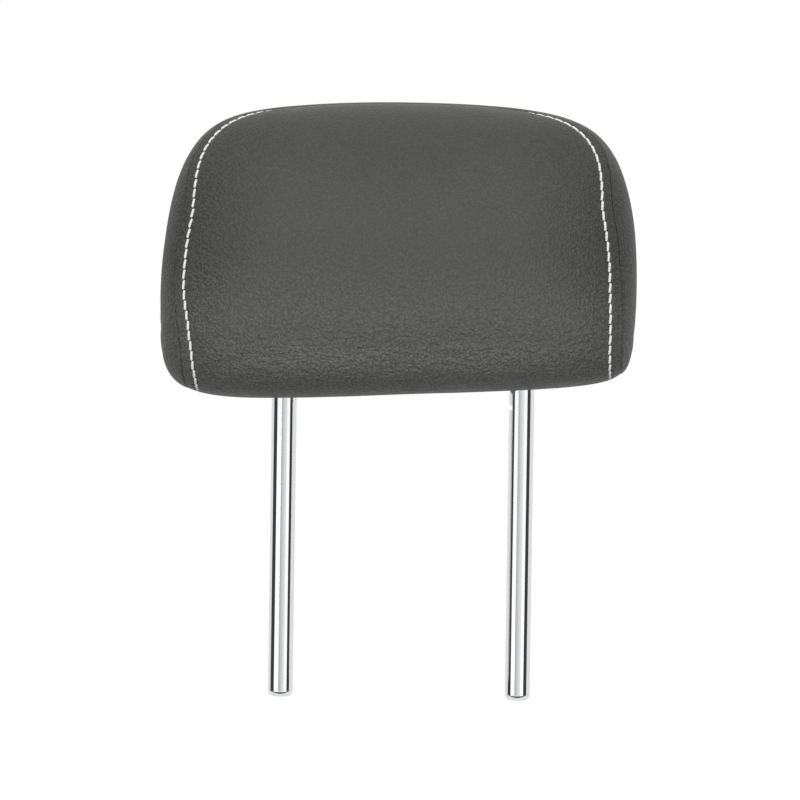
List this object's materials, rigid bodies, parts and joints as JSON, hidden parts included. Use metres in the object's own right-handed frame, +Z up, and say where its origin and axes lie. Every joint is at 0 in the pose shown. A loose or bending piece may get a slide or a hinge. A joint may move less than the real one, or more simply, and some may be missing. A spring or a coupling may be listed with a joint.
{
  "type": "car headrest",
  "caption": "Padded car headrest in grained dark leatherette with white topstitching, on two round chromed posts that plug into a backrest.",
  "frame": {"origin": "midway between the axes of the two posts, level with their lower ends", "axes": "+Z up along the posts, -Y out of the padded face, +X to the right of someone facing it"},
  "size_m": [0.2648, 0.1135, 0.3342],
  "materials": {
    "leatherette": "grained",
    "chrome": "polished",
    "foam": "matte",
    "black_plastic": "matte",
    "white_thread": "matte"
  },
  "bodies": {
    "root": {"post_frame": "chrome", "insert_front": "black_plastic", "insert_rear": "black_plastic", "foam_pad": "foam", "front_panel": "leatherette", "side_band": "leatherette", "back_panel": "leatherette", "front_hook_strip": "black_plastic", "rear_hook_strip": "black_plastic", "topstitch_thread": "white_thread"}
  },
  "joints": []
}
